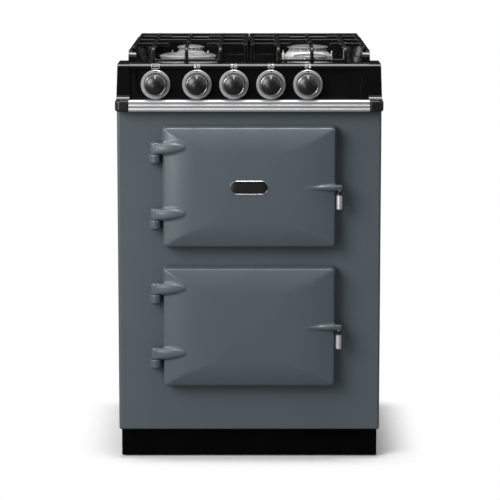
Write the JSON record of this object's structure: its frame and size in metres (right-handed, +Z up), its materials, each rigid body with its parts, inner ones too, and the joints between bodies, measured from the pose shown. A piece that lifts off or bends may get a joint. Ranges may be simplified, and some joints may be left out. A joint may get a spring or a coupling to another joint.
{
  "type": "range cooker",
  "caption": "Freestanding dual fuel range cooker with a gas hob, cast pan supports, rotary controls, a fluted handrail and side-hung crowned doors over electric ovens.",
  "frame": {"origin": "middle of the footprint, on the floor", "axes": "+X to the cooker's right seen from the front, -Y out of the doors, +Z up"},
  "size_m": [0.606, 0.628, 0.951],
  "materials": {
    "slate_enamel": "gloss vitreous enamel",
    "side_paint": "semi-gloss paint",
    "black_enamel": "gloss vitreous enamel",
    "black_cap_enamel": "satin vitreous enamel",
    "cast_iron": "matt enamelled casting",
    "burner_aluminium": "satin die casting",
    "polished_steel": "polished",
    "black_plastic": "gloss",
    "plain_steel": "zinc plated",
    "oven_enamel": "speckled vitreous enamel",
    "mineral_wool": "fibrous",
    "seal_rope": "woven glass rope",
    "shelf_chrome": "plated wire",
    "element_steel": "heat darkened",
    "brass": "machined",
    "white_ceramic": "glazed ceramic"
  },
  "bodies": {
    "cooker": {"front_plate": "slate_enamel", "hinge_brackets": "slate_enamel", "side_panel_left": "side_paint", "side_panel_right": "side_paint", "plinth": "black_enamel", "hob_tray": "black_enamel", "control_fascia": "black_enamel", "fascia_cheeks": "black_enamel", "front_left_burner_cap": "black_cap_enamel", "rear_left_burner_cap": "black_cap_enamel", "rear_right_burner_cap": "black_cap_enamel", "front_right_burner_cap": "black_cap_enamel", "burner_cups": "burner_aluminium", "front_left_burner_head": "burner_aluminium", "rear_left_burner_head": "burner_aluminium", "rear_right_burner_head": "burner_aluminium", "front_right_burner_head": "burner_aluminium", "handrail": "polished_steel", "knob_bezels": "polished_steel", "handrail_end_caps": "black_plastic", "oven_control": "black_plastic", "terminal_box": "black_plastic", "back_panel": "plain_steel", "base_pan": "plain_steel", "control_frame": "plain_steel", "hinge_pins": "plain_steel", "levelling_feet": "plain_steel", "gas_rail": "plain_steel", "burner_feed_tubes": "plain_steel", "fan_motor": "plain_steel", "upper_oven_liner": "oven_enamel", "lower_oven_liner": "oven_enamel", "fan_baffle": "oven_enamel", "oven_insulation": "mineral_wool", "oven_seals": "seal_rope", "oven_shelves": "shelf_chrome", "shelf_runners": "shelf_chrome", "grill_element": "element_steel", "ring_element": "element_steel", "gas_taps": "brass", "spark_electrodes": "white_ceramic"},
    "upper_door": {"upper_door": "slate_enamel", "upper_door_liner": "oven_enamel", "upper_door_grip": "polished_steel"},
    "lower_door": {"lower_door": "slate_enamel", "lower_door_liner": "oven_enamel", "lower_door_grip": "polished_steel"},
    "oven_knob": {"oven_knob": "black_plastic", "oven_spindle": "plain_steel"},
    "pan_support_left": {"pan_support_left": "cast_iron"},
    "pan_support_right": {"pan_support_right": "cast_iron"},
    "fan_wheel": {"fan_wheel": "shelf_chrome"},
    "front_left_spindle": {"front_left_spindle": "plain_steel"},
    "front_left_knob": {"front_left_knob": "black_plastic"},
    "rear_left_spindle": {"rear_left_spindle": "plain_steel"},
    "rear_left_knob": {"rear_left_knob": "black_plastic"},
    "rear_right_spindle": {"rear_right_spindle": "plain_steel"},
    "rear_right_knob": {"rear_right_knob": "black_plastic"},
    "front_right_spindle": {"front_right_spindle": "plain_steel"},
    "front_right_knob": {"front_right_knob": "black_plastic"}
  },
  "joints": [
    {"name": "upper_door_hinge", "type": "hinge", "parent": "cooker", "child": "upper_door", "pos_m": [-0.2135, -0.294, 0.637], "axis": [0, 0, -1], "range_deg": [0, 110]},
    {"name": "lower_door_hinge", "type": "hinge", "parent": "cooker", "child": "lower_door", "pos_m": [-0.2135, -0.294, 0.316], "axis": [0, 0, -1], "range_deg": [0, 110]},
    {"name": "oven_knob_turn", "type": "hinge", "parent": "cooker", "child": "oven_knob", "pos_m": [-0.2115, -0.286, 0.868], "axis": [0, 1, 0], "range_deg": [0, 270]},
    {"name": "front_left_tap_turn", "type": "hinge", "parent": "cooker", "child": "front_left_spindle", "pos_m": [-0.118, -0.286, 0.868], "axis": [0, -1, 0], "range_deg": [0, 240]},
    {"name": "front_left_knob_push", "type": "slide", "parent": "front_left_spindle", "child": "front_left_knob", "axis": [0, 1, 0], "range_m": [0, 0.004], "stiffness_N_per_m": 400, "springref_m": -0.005},
    {"name": "rear_left_tap_turn", "type": "hinge", "parent": "cooker", "child": "rear_left_spindle", "pos_m": [-0.0345, -0.286, 0.868], "axis": [0, -1, 0], "range_deg": [0, 240]},
    {"name": "rear_left_knob_push", "type": "slide", "parent": "rear_left_spindle", "child": "rear_left_knob", "axis": [0, 1, 0], "range_m": [0, 0.004], "stiffness_N_per_m": 400, "springref_m": -0.005},
    {"name": "rear_right_tap_turn", "type": "hinge", "parent": "cooker", "child": "rear_right_spindle", "pos_m": [0.049, -0.286, 0.868], "axis": [0, -1, 0], "range_deg": [0, 240]},
    {"name": "rear_right_knob_push", "type": "slide", "parent": "rear_right_spindle", "child": "rear_right_knob", "axis": [0, 1, 0], "range_m": [0, 0.004], "stiffness_N_per_m": 400, "springref_m": -0.005},
    {"name": "front_right_tap_turn", "type": "hinge", "parent": "cooker", "child": "front_right_spindle", "pos_m": [0.1325, -0.286, 0.868], "axis": [0, -1, 0], "range_deg": [0, 240]},
    {"name": "front_right_knob_push", "type": "slide", "parent": "front_right_spindle", "child": "front_right_knob", "axis": [0, 1, 0], "range_m": [0, 0.004], "stiffness_N_per_m": 400, "springref_m": -0.005},
    {"name": "pan_support_left_lift", "type": "slide", "parent": "cooker", "child": "pan_support_left", "axis": [0, 0, 1], "range_m": [0, 0.12]},
    {"name": "pan_support_right_lift", "type": "slide", "parent": "cooker", "child": "pan_support_right", "axis": [0, 0, 1], "range_m": [0, 0.12]},
    {"name": "fan_spin", "type": "hinge", "parent": "cooker", "child": "fan_wheel", "pos_m": [0, 0.134, 0.316], "axis": [0, 1, 0], "continuous": true}
  ]
}
